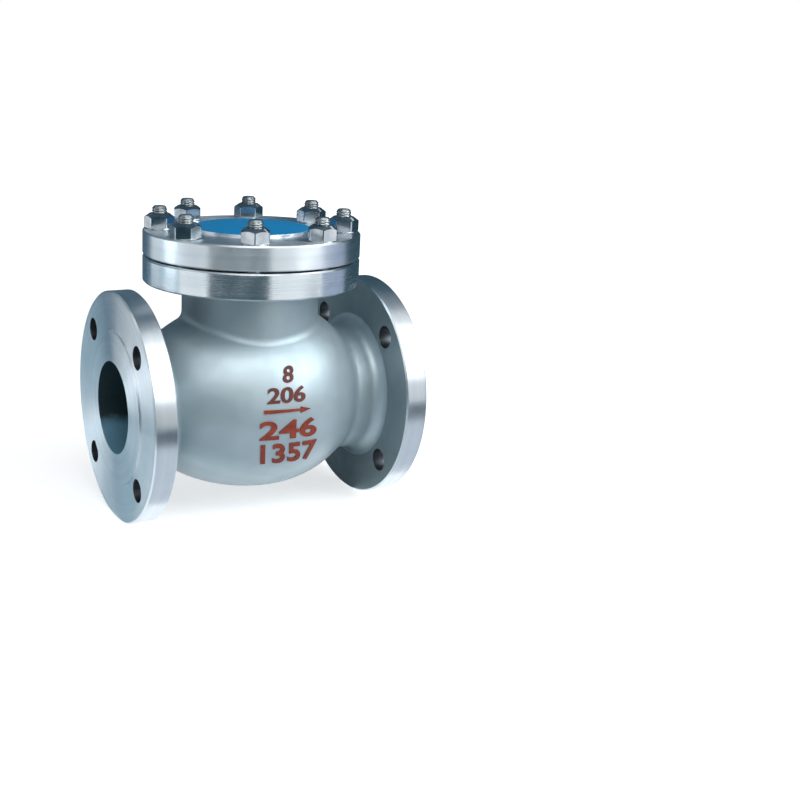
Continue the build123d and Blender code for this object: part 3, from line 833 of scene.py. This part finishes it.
def sector_card(name, azimuth_from, azimuth_to, material, top, inner=0.17, outer=0.62):
    """A card round a part of the valve: along the floor, then up."""
    steps = max(2, round((azimuth_to - azimuth_from) / card_step))
    points = []
    for k in range(steps + 1):
        azimuth = azimuth_from + (azimuth_to - azimuth_from) * k / steps
        points += [round_valve(azimuth, inner, card_foot), round_valve(azimuth, outer, card_foot),
                   round_valve(azimuth, outer, top)]
    return stage_sheet(name, points, material, card_faces(steps + 1, 3))


def sky_card(name, azimuths, low, high, material):
    """A card that hangs round a part of the valve, between two pairs of distance and level."""
    points = [round_valve(azimuth, *end) for azimuth in azimuths for end in (low, high)]
    return stage_sheet(name, points, material, card_faces(len(azimuths), 2))


def lamp(name, place, target, size, power):
    """A square soft lamp that looks at a target."""
    data = bpy.data.lights.new(name, "AREA")
    data.energy = power
    data.size = size
    holder = bpy.data.objects.new(name, data)
    holder.location = place
    holder.rotation_euler = (Vector(target) - Vector(place)).to_track_quat("-Z", "Y").to_euler()
    scene.collection.objects.link(holder)


floor_half = 7.0
pale_floor = floor_material("pale_floor", (0.80, 0.81, 0.82), lift=0.60,
                            far_lift=0.40, far_from=0.6, far_to=1.8)
stage_sheet("floor", [(-floor_half, -floor_half, ground_level), (floor_half, -floor_half, ground_level),
                      (floor_half, floor_half, ground_level), (-floor_half, floor_half, ground_level)],
            pale_floor, reflections_only=False)

black_card = card_material("black_card", (0.010, 0.028, 0.040))
dark_card = card_material("dark_card", (0.035, 0.080, 0.105))
slate_card = card_material("slate_card", (0.075, 0.130, 0.175))
mid_card = card_material("mid_card", (0.13, 0.21, 0.28))
light_card = card_material("light_card", (0.38, 0.52, 0.60))
lavender_card = card_material("lavender_card", (0.34, 0.41, 0.54))
white_card = card_material("white_card", (0.95, 0.98, 1.0), strength=8.0)
pale_card = card_material("pale_card", (0.66, 0.72, 0.80))

# Cards on the floor lie a little above it, and above each other where they overlap
card_foot = ground_level + 0.001
front_foot = card_foot + 0.001
side_foot = card_foot + 0.002
sector_card("front_left_card", -66, -6, dark_card, 0.20, inner=0.38)
sector_card("front_right_card", 49, 84, lavender_card, 0.26, inner=0.46)
sector_card("right_card", 84, 155, dark_card, 0.60)
sector_card("back_card", 155, 203, slate_card, 0.60)
sector_card("back_left_card", 203, 214, mid_card, 0.70, inner=0.12)
sector_card("low_left_card", 214, 233, light_card, 0.02, inner=0.12)
sector_card("left_card", 233, 262, light_card, 0.08, inner=0.40)
sky_card("back_left_sky_card", (214, 225, 236), (0.60, 0.32), (0.60, 0.85), slate_card)
sky_card("left_sky_card", (262, 277, 292), (0.80, 0.24), (0.55, 0.95), slate_card)
stage_sheet("left_floor_card", [(-0.60, -0.22, side_foot), (0.0, -0.03, side_foot), (0.03, 0.13, side_foot),
                                (-0.20, 0.20, side_foot), (-0.52, 0.26, side_foot)], light_card)
# A black sheet under the back of the valve, seen in reflections only: painted shade standing in for the shade
# on the floor beneath the casting
stage_sheet("under_card", [(0.07, 0.05, card_foot), (0.15, 0.03, card_foot), (0.165, -0.01, card_foot),
                           (0.222, -0.01, card_foot), (0.222, 0.20, card_foot), (0.07, 0.24, card_foot)],
            black_card)
stage_sheet("far_left_card", [(-0.70, 0.21, -0.07), (-0.61, 0.41, -0.07), (-0.61, 0.41, 0.11),
                              (-0.70, 0.21, 0.11)], white_card)
stage_sheet("near_floor_card", [(-0.12, -0.26, card_foot), (0.50, -0.26, card_foot), (0.40, -0.07, card_foot),
                                (0.0, -0.07, card_foot)], pale_card)
stage_sheet("front_floor_card", [(-0.05, -0.72, front_foot), (0.95, -0.85, front_foot),
                                 (0.68, -0.262, front_foot), (-0.02, -0.262, front_foot)], dark_card)
stage_sheet("overhead_card", [(-0.30, 0.95, 0.55), (0.75, 0.95, 0.55), (0.75, -0.06, 0.95),
                              (-0.30, -0.06, 0.95)], slate_card)

lamp("key_lamp", (0.90, -0.85, 0.78), target=(0.12, 0.0, 0.02), size=0.95, power=12.5)
lamp("overhead_lamp", (-0.10, -0.80, 1.15), target=(0.10, 0.0, 0.0), size=0.95, power=5.5)

world = bpy.data.worlds.new("studio")
scene.world = world
world_tree = empty_tree(world)
world_path = world_tree.nodes.new("ShaderNodeLightPath")
lit_background = join_node(world_tree, "ShaderNodeBackground", (0.93, 0.97, 1.0, 1.0), 0.38)
seen_background = join_node(world_tree, "ShaderNodeBackground", (1.0, 1.0, 1.0, 1.0), 1.0)
background = join_node(world_tree, "ShaderNodeMixShader", seen_directly(world_tree, world_path),
                       lit_background.outputs[0], seen_background.outputs[0])
join_node(world_tree, "ShaderNodeOutputWorld", background.outputs[0])


# Camera, from the fit of the valve's known sizes to the photograph

photo_side = 800.0
camera_azimuth = math.radians(-24.842)
camera_elevation = math.radians(15.566)
camera_roll = math.radians(1.322)
camera_distance = 1.0760
focal_pixels = 1263.2
centre_column = 247.68
centre_row = 394.01
sensor_width = 36.0

level_reach = math.cos(camera_elevation)
back = Vector((math.sin(camera_azimuth) * level_reach, -math.cos(camera_azimuth) * level_reach,
               math.sin(camera_elevation)))
level_right = (-back).cross(upright).normalized()
level_up = back.cross(level_right)
right = math.cos(camera_roll) * level_right + math.sin(camera_roll) * level_up
up = -math.sin(camera_roll) * level_right + math.cos(camera_roll) * level_up
camera_data = bpy.data.cameras.new("camera")
camera_data.sensor_width = sensor_width
camera_data.lens = sensor_width * focal_pixels / photo_side
camera_data.shift_x = (photo_side / 2 - centre_column) / photo_side
camera_data.shift_y = -(photo_side / 2 - centre_row) / photo_side
camera_data.clip_start = 0.01
camera = bpy.data.objects.new("camera", camera_data)
scene.collection.objects.link(camera)
camera_place = valve_centre + back * camera_distance
camera.matrix_world = Matrix((
    (right.x, up.x, back.x, camera_place.x),
    (right.y, up.y, back.y, camera_place.y),
    (right.z, up.z, back.z, camera_place.z),
    (0.0, 0.0, 0.0, 1.0)))
scene.camera = camera
scene.view_settings.view_transform = "Standard"
